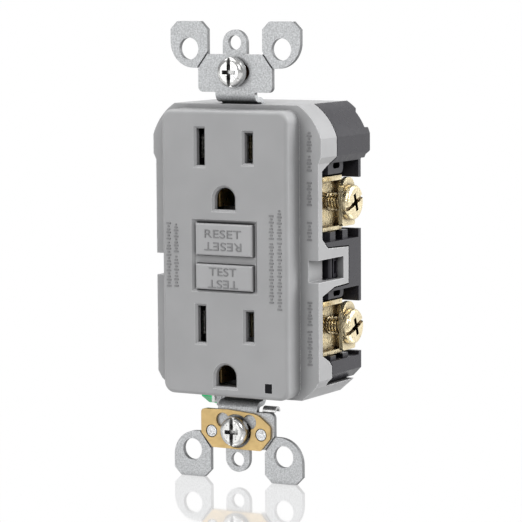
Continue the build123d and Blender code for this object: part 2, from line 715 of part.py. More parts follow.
def fixed_contact():
    return rod_y(sum(ARM_X) / 2, (BUS_Y[1], 8.1), ARM_TIP_Z, 1.15)


def contact_arm():
    """Spring arm that swings the moving contact off the fixed one."""
    blade = block(ARM_X, ARM_Y, (ARM_PIVOT_Z - 0.6, ARM_TIP_Z + 1.0))
    foot = rod_x(ARM_X, sum(ARM_Y) / 2, ARM_PIVOT_Z, 0.5)
    point = rod_y(sum(ARM_X) / 2, (8.13, ARM_Y[0] + 0.1), ARM_TIP_Z, 1.1)
    return blade + foot + point


def terminal_clamp(name):
    """Pressure plate under the terminal screw: round at the top, ridged on the inside."""
    z = TERMINAL_ROWS[name]
    low_x, high_x = CLAMP_X
    front, back = TERMINAL_Y - CLAMP_HALF, TERMINAL_Y + CLAMP_HALF
    bottom, top = z - 5.4, z + 5.8
    corners = [(front, bottom), (back, bottom), (back, top), (front, top)]
    top_r = CLAMP_HALF - 0.1
    plate = prism_x(outline(corners, [0.6, 0.6, top_r, top_r]), CLAMP_X)
    for side in (-1, 1):
        plate += rod_y(low_x + 0.15, (front + 0.9, back - 0.9), z + side * 3.7, 0.4)
    return plate - rod_x((low_x - 1, high_x + 1), TERMINAL_Y, z, TERMINAL_R + 0.08)


def terminal_screw(name):
    """Combination-head brass screw: cross, straight slot and a domed rim."""
    z = TERMINAL_ROWS[name]
    under, front = CLAMP_X[1] + 0.1, TERMINAL_FRONT_X
    head = rod_x((under, front), TERMINAL_Y, z, TERMINAL_HEAD_R)
    rim = head.edges().filter_by(GeomType.CIRCLE).sort_by(Axis.X)[-1]
    head = fillet(rim, 0.9)
    cross = Rectangle(4.2, 1.15) + Rectangle(1.15, 4.2)
    head -= prism_x(Pos(TERMINAL_Y, z) * Rot(0, 0, 20) * cross, (front - 1.5, front + 1))
    slot = Rectangle(9, 0.9)
    head -= prism_x(Pos(TERMINAL_Y, z) * Rot(0, 0, 20) * slot, (front - 0.8, front + 1))
    shank = rod_x((SCREW_TIP_X, under + 0.2), TERMINAL_Y, z, TERMINAL_R)
    return head + shank


# ---- trip mechanism, board and small parts ----
LIGHT_PIPE_X = (10.9, 11.9)
LIFTER_Z = (5.4, 7.0)
LIFTER_Y = (ARM_Y[1] + 0.1, 10.9)
HUB_X = (-3.2, 1.7)


def lifter():
    """Plastic yoke that carries the latch and pushes both contact arms."""
    bar = block((-12.2, 12.2), LIFTER_Y, LIFTER_Z)
    back = LATCH_Y[0] - 0.1
    hub = block(HUB_X, (LIFTER_Y[0], back), (RESET_AXIS_Z - 2.0, LIFTER_Z[1]))
    rail = block(HUB_X, (back, LATCH_Y[1] + 0.3), (RESET_AXIS_Z + 1.9, LIFTER_Z[1]))
    return bar + hub + rail - rod_y(0, (0, 20), RESET_AXIS_Z, STEM_R + 0.2)


def latch_plate():
    """Sliding steel latch: a slot that catches the stem's neck, and a tab for the plunger."""
    y, z = SOLENOID
    low, high = LATCH_Y
    plate = block((-3.6, 3.0), LATCH_Y, (-0.2, RESET_AXIS_Z + 1.75))
    plate -= block((-0.95, 2.6), (0, 20), (RESET_AXIS_Z - 1.35, RESET_AXIS_Z + 1.35))
    tab = block((2.5, 3.0), (y - 1.2, high), (-0.2, RESET_AXIS_Z - 2.1))
    return plate + tab


def solenoid_parts():
    """Trip solenoid on the right of the latch, its axis along X."""
    y, z = SOLENOID
    bobbin = rod_x((4.2, 9.6), y, z, 1.9) - rod_x((4, 10), y, z, 1.35)
    for x in ((4.2, 4.6), (9.2, 9.6)):
        bobbin += rod_x(x, y, z, 3.0) - rod_x((x[0] - 1, x[1] + 1), y, z, 1.35)
    coil = rod_x((4.65, 9.15), y, z, 2.85) - rod_x((4, 10), y, z, 1.93)
    frame = block((3.65, 10.15), (y - 2.2, y + 3.6), (z - 2.6, z + 2.6))
    frame -= block((4.15, 9.65), (0, y + 3.1), (-10, 10))
    frame -= rod_x((3, 5), y, z, 1.4)
    return {
        "solenoid_bobbin": bobbin,
        "solenoid_coil": coil,
        "solenoid_frame": frame,
        "plunger": rod_x((3.1, 8.6), y, z, 1.25),
    }


def sense_coil(y):
    """Wound toroidal transformer."""
    ring = rod_y(0, y, COIL_Z, 5.1) - rod_y(0, (y[0] - 1, y[1] + 1), COIL_Z, 2.6)
    rims = ring.edges().filter_by(GeomType.CIRCLE)
    return fillet(rims, 0.7)


def circuit_board():
    points = [(-12.4, 30.6), (12.4, 30.6), (12.4, -29.8), (6.0, -29.8), (6.0, -26.4), (-12.4, -26.4)]
    board = prism_y(outline(points), BOARD_Y)
    board -= rod_y(0, (0, 30), RESET_AXIS_Z, 1.8)
    return board


def board_parts():
    """Components on the front of the board, in the space between the contacts."""
    y = BOARD_Y[0]
    parts = {
        "surge_varistor": rod_y(10.0, (y - 3.6, y), 18.4, 2.6),
        "filter_capacitor": rod_y(-10.2, (y - 6.5, y), 18.8, 2.4),
        "controller_chip": block((-3.4, 3.4), (y - 1.8, y), (17.4, 21.4)),
        "switching_thyristor": block((-2.3, 2.3), (y - 4.2, y), (25.5, 27.3)),
        "power_resistors": [rod_x((-11.8, -7.2), y - 1.3, z, 1.1) for z in (-21.6, -24.4)],
        "rectifier_diodes": [rod_x((7.4, 11.6), y - 1.1, z, 0.9) for z in (-21.4, -23.8, -26.2)],
        "test_resistor": rod_x((-3.4, 3.4), y - 1.2, -22.6, 1.0),
    }
    parts["indicator_led"] = rod_y(sum(LIGHT_PIPE_X) / 2, (y - 1.8, y), -28.7, 1.0)
    return parts


def status_lens():
    """Dark window in the face with the light pipe that runs back to the lamp."""
    gap = 0.08
    x = (LENS_X[0] + gap, LENS_X[1] - gap)
    z = (LENS_Z[0] + gap, LENS_Z[1] - gap)
    window = block(x, (FACE_Y - 0.02, FACE_Y + 1.7), z)
    return window + block(LIGHT_PIPE_X, (FACE_Y + 1.0, 13.4), (-29.9, -29.3))


def test_blade():
    """Leaf that the test stem presses to close the test circuit."""
    y = TEST_STEM_END + PRESS_TRAVEL + 0.3
    z = (TEST_AXIS_Z - 0.9, TEST_AXIS_Z + 0.9)
    leaf = block((-3.4, 3.4), (y, y + 0.3), z)
    feet = both_sides(block((2.8, 3.4), (SEPARATOR_Y[1], y + 0.3), z))
    return leaf + feet


def latch_spring():
    """Bent leaf on the lifter's hub that pushes the latch back behind the stem's neck."""
    z = (RESET_AXIS_Z - 1.8, RESET_AXIS_Z + 0.6)
    leaf_x = HUB_X[0] - 2.0
    leaf = block((leaf_x, leaf_x + 0.25), (9.8, LATCH_Y[1]), z)
    return leaf + block((leaf_x, HUB_X[0]), (9.8, 10.1), z)


def housing_screws():
    screws = []
    for x, z in (POSTS_TOP, POSTS_LOW):
        seat = (UPPER_BACK_Y if z > 0 else BACK_Y) - 2.2
        head = rod_y(x, (seat, seat + 1.7), z, 2.6)
        head -= Pos(x, 0, z) * prism_y(Rectangle(3.0, 0.7) + Rectangle(0.7, 3.0), (seat + 0.8, seat + 3))
        shank = rod_y(x, (0.2, seat + 0.1), z, HOUSING_SCREW_R)
        screw = head + shank
        screws += [screw, flipped(screw)]
    return screws


# ---- all the pieces ----
def terminal_pieces():
    pieces = {}
    for name in TERMINAL_ROWS:
        clamp = terminal_clamp(name)
        screw = terminal_screw(name)
        pieces.update(side_pair(clamp, (f"hot_{name}_clamp", f"neutral_{name}_clamp")))
        pieces.update(side_pair(screw, (f"hot_{name}_screw", f"neutral_{name}_screw")))
    return pieces


def all_pieces():
    pieces = {
        "front_cover": front_cover(),
        "rear_housing": rear_housing(),
        "separator": separator(),
        "mounting_strap": mounting_strap(),
        "grounding_plate": grounding_plate(),
        "plate_rivets": plate_rivets(),
        "grounding_spring": grounding_spring(),
        "upper_mounting_screw": mounting_screw(SCREW_PITCH / 2),
        "lower_mounting_screw": mounting_screw(-SCREW_PITCH / 2),
        "screw_retainers": screw_retainers(),
        "upper_ground_contact": ground_contact(GROUND_ROWS[0]),
        "lower_ground_contact": ground_contact(GROUND_ROWS[1]),
        "ground_screw": ground_screw(),
        "ground_clamp": ground_clamp(),
        "reset_button": reset_button(),
        "reset_stem": reset_stem(),
        "test_button": test_button(),
        "reset_spring": coil_spring(0, (BUTTON_BACK, SEPARATOR_Y[0]), RESET_AXIS_Z, 1.75, 0.25, 6),
        "test_spring": coil_spring(0, (BUTTON_BACK - 1.4, SEPARATOR_Y[0]), TEST_AXIS_Z, 1.5, 0.2, 6),
        "test_blade": test_blade(),
        "status_lens": status_lens(),
        "lifter": lifter(),
        "latch_plate": latch_plate(),
        "latch_spring": latch_spring(),
        "front_sense_coil": sense_coil((8.5, 11.1)),
        "rear_sense_coil": sense_coil((11.4, 14.0)),
        "circuit_board": circuit_board(),
        "housing_screws": housing_screws(),
    }
    pieces.update(side_pair(receptacle_bus(), ("hot_receptacle_bus", "neutral_receptacle_bus")))
    pieces.update(side_pair(line_terminal(), ("hot_line_terminal", "neutral_line_terminal")))
    pieces.update(side_pair(fixed_contact(), ("hot_fixed_contact", "neutral_fixed_contact")))
    pieces.update(side_pair(contact_arm(), ("hot_contact_arm", "neutral_contact_arm")))
    pieces.update(terminal_pieces())
    pieces.update(solenoid_parts())
    pieces.update(board_parts())
    return pieces


def save(name, piece):
    solids = piece if isinstance(piece, list) else [piece]
    body = solids[0] if len(solids) == 1 else Compound(children=[Part() + solid for solid in solids])
    export_step(body, f"parts/{name}.step")


os.makedirs("parts", exist_ok=True)
for piece_name, piece_shape in all_pieces().items():
    save(piece_name, piece_shape)
    print("wrote", piece_name)
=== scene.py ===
import bpy
import bmesh
import json
import math
from mathutils import Matrix, Vector


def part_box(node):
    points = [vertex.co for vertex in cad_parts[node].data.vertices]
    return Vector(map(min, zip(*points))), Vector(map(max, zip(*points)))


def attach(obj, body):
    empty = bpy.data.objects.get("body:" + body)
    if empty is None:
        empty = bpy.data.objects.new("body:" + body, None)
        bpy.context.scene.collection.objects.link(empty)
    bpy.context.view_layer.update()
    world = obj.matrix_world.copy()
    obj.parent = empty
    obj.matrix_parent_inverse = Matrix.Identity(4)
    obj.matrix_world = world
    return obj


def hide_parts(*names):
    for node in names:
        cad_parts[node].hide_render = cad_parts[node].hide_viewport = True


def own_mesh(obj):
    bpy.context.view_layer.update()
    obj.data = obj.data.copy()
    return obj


MM = 0.001

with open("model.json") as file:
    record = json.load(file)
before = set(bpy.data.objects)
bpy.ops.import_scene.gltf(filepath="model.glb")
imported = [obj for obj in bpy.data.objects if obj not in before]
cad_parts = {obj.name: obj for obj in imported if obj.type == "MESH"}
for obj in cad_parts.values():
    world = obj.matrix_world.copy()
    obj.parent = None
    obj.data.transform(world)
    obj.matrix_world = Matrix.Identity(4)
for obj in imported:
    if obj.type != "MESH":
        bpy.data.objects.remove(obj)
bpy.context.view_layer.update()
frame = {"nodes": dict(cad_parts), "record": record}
nodes = frame["nodes"]


# ---- material graphs ----
class Graph:
    """One material, with short calls for the nodes that the recipes below share."""

    def __init__(self, name, metallic=0.0):
        self.material = bpy.data.materials.new(name)
        self.material.use_nodes = True
        self.tree = self.material.node_tree
        self.shader = self.tree.nodes["Principled BSDF"]
        self.shader.inputs["Metallic"].default_value = metallic
        place = self.tree.nodes.new("ShaderNodeTexCoord")
        self.millimetres = self.node("ShaderNodeMapping", Vector=place.outputs["Object"])
        self.millimetres.inputs["Scale"].default_value = (1 / MM, 1 / MM, 1 / MM)

    def node(self, kind, **inputs):
        made = self.tree.nodes.new(kind)
        for name, value in inputs.items():
            self.feed(made.inputs[name.replace("_", " ")], value)
        return made

    def feed(self, socket, value):
        if isinstance(value, bpy.types.NodeSocket):
            self.tree.links.new(value, socket)
        else:
            socket.default_value = value

    def stretched(self, scale):
        mapping = self.node("ShaderNodeMapping", Vector=self.millimetres.outputs[0])
        mapping.inputs["Scale"].default_value = scale
        return mapping.outputs[0]

    def noise(self, per_mm, detail=3.0, where=None):
        where = where or self.millimetres.outputs[0]
        made = self.node("ShaderNodeTexNoise", Vector=where, Scale=per_mm, Detail=detail)
        return made.outputs["Fac"]

    def spread(self, fac, low, high, out_low=0.0, out_high=1.0):
        made = self.node("ShaderNodeMapRange", Value=fac)
        for name, value in (("From Min", low), ("From Max", high), ("To Min", out_low), ("To Max", out_high)):
            made.inputs[name].default_value = value
        return made.outputs["Result"]

    def math(self, operation, a, b):
        made = self.tree.nodes.new("ShaderNodeMath")
        made.operation = operation
        self.feed(made.inputs[0], a)
        self.feed(made.inputs[1], b)
        return made.outputs[0]

    def blend(self, fac, a, b):
        made = self.tree.nodes.new("ShaderNodeMix")
        made.data_type = "RGBA"
        self.feed(made.inputs["Factor"], fac)
        colours = [s for s in made.inputs if s.type == "RGBA"]
        self.feed(colours[0], a)
        self.feed(colours[1], b)
        return [s for s in made.outputs if s.type == "RGBA"][0]

    def cavity(self, reach_mm, low=0.25, high=0.85):
        """1 deep inside a recess or gap, 0 on open surfaces: the mask for painted shade and duller
        reflection.
        """
        open_sky = self.tree.nodes.new("ShaderNodeAmbientOcclusion")
        open_sky.samples = 6
        open_sky.inputs["Distance"].default_value = reach_mm * MM
        return self.spread(open_sky.outputs["AO"], low, high, 1.0, 0.0)

    def sheared(self, beyond_mm):
        """1 on the cut edges of flat sheet in the X-Z plane, further than beyond_mm from the middle."""
        geometry = self.tree.nodes.new("ShaderNodeTexCoord")
        facing = self.node("ShaderNodeSeparateXYZ", Vector=geometry.outputs["Normal"])
        place = self.node("ShaderNodeSeparateXYZ", Vector=self.millimetres.outputs[0])
        edge = self.spread(self.math("ABSOLUTE", facing.outputs["Y"], 0.0), 0.35, 0.75, 1.0, 0.0)
        outside = self.math("GREATER_THAN", self.math("ABSOLUTE", place.outputs["Z"], 0.0), beyond_mm)
        return self.math("MULTIPLY", edge, outside)

    def edge_wear_and_highlight(self, radius_mm):
        """1 on convex and concave edges, from a rounded normal compared with the true one."""
        bevel = self.tree.nodes.new("ShaderNodeBevel")
        bevel.samples = 4
        bevel.inputs["Radius"].default_value = radius_mm * MM
        geometry = self.tree.nodes.new("ShaderNodeNewGeometry")
        dot = self.tree.nodes.new("ShaderNodeVectorMath")
        dot.operation = "DOT_PRODUCT"
        self.tree.links.new(bevel.outputs[0], dot.inputs[0])
        self.tree.links.new(geometry.outputs["Normal"], dot.inputs[1])
        turned = self.math("SUBTRACT", 1.0, dot.outputs["Value"])
        return self.spread(turned, 0.02, 0.3)

    def rounded_normal(self, radius_mm):
        bevel = self.tree.nodes.new("ShaderNodeBevel")
        bevel.samples = 4
        bevel.inputs["Radius"].default_value = radius_mm * MM
        return bevel.outputs[0]

    def bump(self, height, distance_mm, normal=None, strength=1.0):
        made = self.node("ShaderNodeBump", Height=height)
        made.inputs["Strength"].default_value = strength
        made.inputs["Distance"].default_value = distance_mm * MM
        if normal is not None:
            self.tree.links.new(normal, made.inputs["Normal"])
        return made.outputs[0]

    def shaded_gloss(self, cavity, level=0.5):
        """Less reflection where the surroundings close in."""
        self.feed(self.shader.inputs["Specular IOR Level"], self.spread(cavity, 0.0, 1.0, level, 0.04))

    def finish(self, colour, roughness, normal):
        self.feed(self.shader.inputs["Base Color"], colour)
        self.feed(self.shader.inputs["Roughness"], roughness)
        self.tree.links.new(normal, self.shader.inputs["Normal"])
        return self.material


def shade(colour, factor):
    return tuple(min(1.0, channel * factor) for channel in colour) + (1.0,)


def plastic(
    name, colour, roughness=0.42, grain_mm=0.006, edge_mm=0.22, edge_light=1.12,
    gap=(5.0, 0.05, 0.8), gloss=0.5,
):
    """Moulded thermoplastic: fine spark-eroded grain, faint flow marks, painted highlight on edges, painted
    shade in gaps.
    """
    g = Graph(name)
    broad = g.spread(g.noise(0.09, 2.0), 0.35, 0.65)
    base = g.blend(broad, shade(colour, 0.965), shade(colour, 1.035))
    specks = g.spread(g.noise(7.0, 2.0), 0.62, 0.78, 0.0, 0.35)
    base = g.blend(specks, base, shade(colour, 0.88))
    # painted highlight: edges are lifted to edge_light times the base colour
    edges = g.math("MULTIPLY", g.edge_wear_and_highlight(edge_mm), g.spread(g.noise(0.8), 0.3, 0.6, 0.45, 1.0))
    base = g.blend(edges, base, shade(colour, edge_light))
    # painted shade: gaps and recesses darken towards 0.03 of the base colour
    closed = g.cavity(*gap)
    base = g.blend(g.math("MULTIPLY", closed, 0.97), base, shade(colour, 0.03))
    g.shaded_gloss(closed, gloss)
    rough = g.spread(g.noise(0.5, 4.0), 0.3, 0.7, roughness - 0.06, roughness + 0.08)
    grain = g.bump(g.noise(6.0, 4.0), grain_mm, g.rounded_normal(edge_mm * 0.6))
    normal = g.bump(g.noise(0.25, 1.0), 0.05, grain, 0.4)
    return g.finish(base, rough, normal)


SHEARED_BEYOND_MM = 36.4     # above and below this the strap is flat, with bare cut edges
METAL_EDGE_MM = 0.1


def galvanised(name, colour):
    """Zinc coated sheet steel: mottled spangle, dull pits, dark sheared edges, lighter rims that are partly
    rubbed zinc and partly painted highlight, painted shade in recesses.
    """
    g = Graph(name, metallic=0.72)
    mottle = g.spread(g.noise(2.6, 5.0), 0.36, 0.64)
    base = g.blend(mottle, shade(colour, 0.74), shade(colour, 1.12))
    pits = g.spread(g.noise(4.5, 3.0), 0.58, 0.68)
    base = g.blend(g.math("MULTIPLY", pits, 0.55), base, shade(colour, 0.40))
    # lighter rims: partly rubbed zinc, partly painted highlight
    edges = g.edge_wear_and_highlight(0.18)
    base = g.blend(g.math("MULTIPLY", edges, 0.6), base, shade(colour, 1.3))
    base = g.blend(g.math("MULTIPLY", g.sheared(SHEARED_BEYOND_MM), 0.8), base, shade(colour, 0.22))
    # painted shade: recesses darken towards a tenth of the base colour
    base = g.blend(g.math("MULTIPLY", g.cavity(2.2, 0.15, 0.7), 0.8), base, shade(colour, 0.1))
    rough = g.spread(g.noise(3.4, 4.0), 0.3, 0.7, 0.36, 0.58)
    fine = g.bump(g.noise(3.2, 5.0), 0.03, g.rounded_normal(0.14))
    normal = g.bump(g.noise(0.5, 2.0), 0.06, fine, 0.5)
    return g.finish(base, rough, normal)


def metal(
    name, colour, roughness=0.25, brushed=(0.4, 0.4, 6.0),
    deep=(0.05, 0.02, 0.004), gap=(2.5, 0.15, 0.7), hammer_mm=0.0,
):
    """Rolled, turned or plated metal: drawn lines, patchy tarnish, painted highlight on edges, painted shade
    in recesses.
    """
    g = Graph(name, metallic=1.0)
    lines = g.noise(3.0, 3.0, g.stretched(brushed))
    patch = g.spread(g.noise(0.35, 4.0), 0.4, 0.7)
    base = g.blend(patch, shade(colour, 1.0), shade(colour, 0.82))
    base = g.blend(g.spread(lines, 0.35, 0.65, 0.0, 0.35), base, shade(colour, 0.86))
    # painted highlight: edges are lifted to 1.2 times the base colour
    base = g.blend(g.math("MULTIPLY", g.edge_wear_and_highlight(METAL_EDGE_MM), 0.6), base, shade(colour, 1.2))
    # painted shade: recesses blend to the deep colour
    base = g.blend(g.math("MULTIPLY", g.cavity(*gap), 0.95), base, deep + (1.0,))
    rough = g.spread(g.noise(1.2, 4.0), 0.3, 0.7, roughness - 0.06, roughness + 0.1)
    normal = g.bump(lines, 0.008, g.rounded_normal(METAL_EDGE_MM))
    if hammer_mm:
        dents = g.noise(1.6, 3.0)
        normal = g.bump(dents, hammer_mm, normal)
        stain = g.math("MULTIPLY", g.spread(dents, 0.60, 0.66), 0.6)
        base = g.blend(stain, base, shade(colour, 0.25))
    return g.finish(base, rough, normal)


def lens_material():
    g = Graph("smoked_lens")
    g.shader.inputs["Specular IOR Level"].default_value = 0.12
    base = g.blend(g.noise(0.6), (0.004, 0.004, 0.005, 1), (0.010, 0.010, 0.012, 1))
    rough = g.spread(g.noise(1.5), 0.3, 0.7, 0.10, 0.2)
    return g.finish(base, rough, g.bump(g.noise(0.8), 0.004, g.rounded_normal(0.1)))


# near-black colour for painted shade in metal recesses
GREY_SHADE = (0.012, 0.012, 0.012)
COVER = (0.385, 0.386, 0.392)
MATERIALS = {
    "cover_grey": plastic("cover_grey", COVER, edge_mm=0.35, edge_light=2.4),
    "button_grey": plastic(
        "button_grey", shade(COVER, 1.10)[:3], roughness=0.38, edge_mm=0.35, edge_light=2.4,
    ),
    "housing_dark": plastic(
        "housing_dark", (0.026, 0.025, 0.031), 0.30, 0.006, 0.25, 2.4, gap=(5.0, 0.08, 0.55), gloss=0.36,
    ),
    "galvanised_steel": galvanised("galvanised_steel", (0.55, 0.56, 0.57)),
    "strap_rivet": metal("strap_rivet", (0.74, 0.75, 0.76), 0.2, deep=GREY_SHADE, hammer_mm=0.3),
    "spring_steel": metal("spring_steel", (0.60, 0.60, 0.60), 0.25, deep=GREY_SHADE),
    "ground_brass": metal("ground_brass", (0.64, 0.46, 0.21), 0.42, (0.3, 0.3, 3.0)),
    "fibre": plastic("fibre", (0.22, 0.10, 0.05), 0.7, 0.02),
    "plated_screw": metal("plated_screw", (0.70, 0.70, 0.69), 0.17, deep=GREY_SHADE, hammer_mm=0.05),
    "contact_brass": metal("contact_brass", (0.72, 0.50, 0.22), 0.3, gap=(8.0, 0.03, 0.45)),
    "terminal_brass": metal("terminal_brass", (0.95, 0.82, 0.54), 0.2, gap=(2.4, 0.42, 0.95), hammer_mm=0.14),
    "terminal_silver": metal("terminal_silver", (0.76, 0.75, 0.71), 0.2, deep=GREY_SHADE, hammer_mm=0.1),
    "ground_green": metal("ground_green", (0.03, 0.42, 0.15), 0.25, deep=(0.0, 0.02, 0.008)),
    "ground_clamp_steel": metal("ground_clamp_steel", (0.62, 0.62, 0.62), 0.3, deep=GREY_SHADE),
    "arm_copper": metal("arm_copper", (0.78, 0.42, 0.25), 0.25),
    "contact_silver": metal("contact_silver", (0.82, 0.81, 0.78), 0.22, deep=GREY_SHADE),
    "stem_steel": metal("stem_steel", (0.58, 0.58, 0.60), 0.28, deep=GREY_SHADE),
    "lens_black": lens_material(),
    "yoke_plastic": plastic("yoke_plastic", (0.62, 0.60, 0.52), 0.45),
    "coil_wire": metal("coil_wire", (0.55, 0.20, 0.07), 0.25),
    "board_green": plastic("board_green", (0.03, 0.15, 0.06), 0.3),
    "part_dark": plastic("part_dark", (0.02, 0.02, 0.02), 0.45),
    "part_blue": plastic("part_blue", (0.04, 0.13, 0.34), 0.25),
    "part_can": metal("part_can", (0.70, 0.71, 0.72), 0.25, deep=GREY_SHADE),
    "part_tan": plastic("part_tan", (0.52, 0.40, 0.25), 0.6),
    "led_body": plastic("led_body", (0.45, 0.62, 0.40), 0.12),
}


# darker copies of the base materials, as painted shade on screw threads, raised legends and ticks
RELIEF = {
    "cover_grey": plastic("cover_relief_shaded", shade(COVER, 0.70)[:3], 0.5),
    "button_grey": plastic("button_relief_shaded", shade(COVER, 0.66)[:3], 0.5),
    "terminal_brass": metal("brass_thread_shaded", (0.24, 0.14, 0.06), 0.16, gap=(5.0, 0.4, 1.0)),
    "terminal_silver": metal("silver_thread_shaded", (0.24, 0.235, 0.22), 0.16, deep=GREY_SHADE),
    "plated_screw": metal("plated_thread_shaded", (0.42, 0.42, 0.41), 0.16, deep=GREY_SHADE),
    "ground_green": metal("green_thread_shaded", (0.02, 0.26, 0.10), 0.2, deep=(0.0, 0.02, 0.008)),
}


def paint(obj, slot_name, table=MATERIALS):
    obj.data.materials.clear()
    obj.data.materials.append(table[slot_name])


# ---- CAD nodes ----
def dress_nodes():
    """Every node gets its own slot's material, but load-side strips look like the line side's."""
    slots = {part["node"]: part["material_slot"] for part in frame["record"]["subparts"]}
    slots["hot_receptacle_bus"] = "terminal_brass"
    slots["neutral_receptacle_bus"] = "terminal_silver"
    for name, obj in nodes.items():
        paint(obj, slots[name])


def add_piece(name, bm, slot_name, body, smooth_deg=35):
    """Finish a mesh, give it a material and let it ride on a body."""
    mesh = bpy.data.meshes.new(name)
    bm.to_mesh(mesh)
    bm.free()
    obj = bpy.data.objects.new(name, mesh)
    bpy.context.scene.collection.objects.link(obj)
    mesh.shade_smooth()
    mesh.set_sharp_from_angle(angle=math.radians(smooth_deg))
    paint(obj, slot_name)
    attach(obj, body)
    return obj


# ---- threaded screws ----
SECTIONS = 28
PITCH_MM = 25.4 / 32
SIDE_THREAD = (2.05, 1.68)       # crest and root radius of the terminal and ground screws
MOUNTING_THREAD = (1.75, 1.4)    # the same for the device mounting screws
# where each thread starts and ends along its screw's axis, in millimetres from the origin
TERMINAL_SPAN = (-23.0, -15.3)
MOUNTING_SPAN = (1.7, 13.6)
GROUND_SPAN = (-10.3, -6.3)


def axis_frame(along):
    """The axis, and two unit vectors that make a right-handed set with it."""
    along = Vector(along)
    first = Vector((0, 0, 1))
    return along, first, along.cross(first)


def add_ridge(bm, centre, along, root, crest, start, end):
    """Right-handed thread ridge on an axis through centre, between two distances along it."""
    along, first, second = axis_frame(along)
    turns = (end - start) / PITCH_MM - 1.0
    # radius, and place along the axis as a fraction of the pitch
    profile = ((root, -0.42), (crest, -0.10), (crest, 0.10), (root, 0.42))
    rings = []
    for step in range(int(turns * SECTIONS) + 1):
        turn = step / SECTIONS
        angle = turn * 2 * math.pi
        outward = math.cos(angle) * first + math.sin(angle) * second
        fade = min(1.0, step / SECTIONS * 2, (turns - turn) * 2 + 0.05)
        ring = []
        for radius, shift in profile:
            reach = root + (radius - root) * fade
            where = centre + along * (start + (turn + 0.5 + shift) * PITCH_MM) + outward * reach
            ring.append(bm.verts.new(where * MM))
        rings.append(ring)
    for low, high in zip(rings, rings[1:]):
        for index in range(4):
            other = (index + 1) % 4
            bm.faces.new((low[index], low[other], high[other], high[index]))
    bm.faces.new(rings[0][::-1])
    bm.faces.new(rings[-1])


def thread_screw(node, slot_name, centre, along, thread, start, end):
    """The CAD screw with its plain shank turned down to the root and a real thread on it."""
    crest, root = thread
    centre = Vector(centre)
    direction = Vector(along)
    bm = bmesh.new()
    bm.from_mesh(nodes[node].data)
    for vert in bm.verts:
        offset = vert.co / MM - centre
        radial = offset - offset.dot(direction) * direction
        if abs(radial.length - crest) < 0.02 and start - 0.3 < offset.dot(direction) < end + 0.3:
            vert.co -= radial * (1 - root / crest) * MM
    add_ridge(bm, centre, along, root, crest, start, end)
    bmesh.ops.recalc_face_normals(bm, faces=bm.faces)
    # painted shade: the thread's faces take the darker copy of the screw's material
    for face in bm.faces:
        offset = face.calc_center_median() / MM - centre
        depth = offset.dot(direction)
        if start < depth < end and (offset - depth * direction).length < crest:
            face.material_index = 1
    screw = add_piece(f"{node}_threaded", bm, slot_name, node)
    screw.data.materials.append(RELIEF[slot_name])
    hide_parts(node)


def middle_of(node):
    low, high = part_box(node)
    return (Vector(low) + Vector(high)) / 2 / MM


def thread_all_screws():
    for side, sign, slot_name in (("hot", 1, "terminal_brass"), ("neutral", -1, "terminal_silver")):
        for row in ("load", "line"):
            node = f"{side}_{row}_screw"
            place = middle_of(node)
            place.x = 0
            thread_screw(node, slot_name, place, (-sign, 0, 0), SIDE_THREAD, *TERMINAL_SPAN)
    for end in ("upper", "lower"):
        node = f"{end}_mounting_screw"
        place = middle_of(node)
        place.y = 0
        thread_screw(node, "plated_screw", place, (0, 1, 0), MOUNTING_THREAD, *MOUNTING_SPAN)
    place = middle_of("ground_screw")
    place.x = 0
    thread_screw("ground_screw", "ground_green", place, (1, 0, 0), SIDE_THREAD, *GROUND_SPAN)


# ---- springs, as meshes of their own; how much of each a press would keep is worked out but not applied ----
PRESS_MM = 1.5
SPRING_MM = {"reset": 6.7, "test": 8.1}
KEPT = {name: 1 - PRESS_MM / length for name, length in SPRING_MM.items()}


def springs():
    for name, keep in KEPT.items():
        node = nodes[f"{name}_spring"]
        bm = bmesh.new()
        bm.from_mesh(node.data)
        coil = add_piece(f"{name}_spring_coil", bm, "spring_steel", "receptacle")
        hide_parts(f"{name}_spring")
        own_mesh(coil)


# ---- windings ----
SOLENOID_WIRE_SIDES = 6
SOLENOID_TURNS = 11
SENSE_WIRE_SIDES = 5
SENSE_TURNS = 46
SENSE_STEPS = 12                 # sections in each turn of a sense winding


def helix_tube(bm, centre, along, radius, wire, start, end, turns):
    """Round wire wound on an axis through centre."""
    along, first, second = axis_frame(along)
    rings = []
    steps = int(turns * SECTIONS)
    for step in range(steps + 1):
        angle = step / SECTIONS * 2 * math.pi
        outward = math.cos(angle) * first + math.sin(angle) * second
        middle = centre + along * (start + (end - start) * step / steps) + outward * radius
        corners = []
        for corner in range(SOLENOID_WIRE_SIDES):
            spot = corner / SOLENOID_WIRE_SIDES * 2 * math.pi
            reach = wire * (math.cos(spot) * outward + math.sin(spot) * along)
            corners.append(bm.verts.new((middle + reach) * MM))
        rings.append(corners)
    close_tube(bm, rings)


def close_tube(bm, rings, looped=False):
    """Faces between neighbouring rings of vertices, and an end cap each, or none on a loop."""
    pairs = list(zip(rings, rings[1:]))
    if looped:
        pairs.append((rings[-1], rings[0]))
    size = len(rings[0])
    for low, high in pairs:
        for index in range(size):
            other = (index + 1) % size
            bm.faces.new((low[index], low[other], high[other], high[index]))
    if not looped:
        bm.faces.new(rings[0][::-1])
        bm.faces.new(rings[-1])


def solenoid_winding():
    """Two layers of wire that fill the outside of the plain CAD winding."""
    low, high = [Vector(corner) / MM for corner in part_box("solenoid_coil")]
    middle = (low + high) / 2
    middle.x = 0
    bm = bmesh.new()
    wire = 0.19
    outer = (high.z - low.z) / 2
    for layer in (1, 3):
        radius = outer - layer * wire
        helix_tube(bm, middle, (1, 0, 0), radius, wire, low.x + wire, high.x - wire, SOLENOID_TURNS)
    bmesh.ops.recalc_face_normals(bm, faces=bm.faces)
    winding = add_piece("solenoid_winding", bm, "coil_wire", "receptacle", 60)
    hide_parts("solenoid_coil")


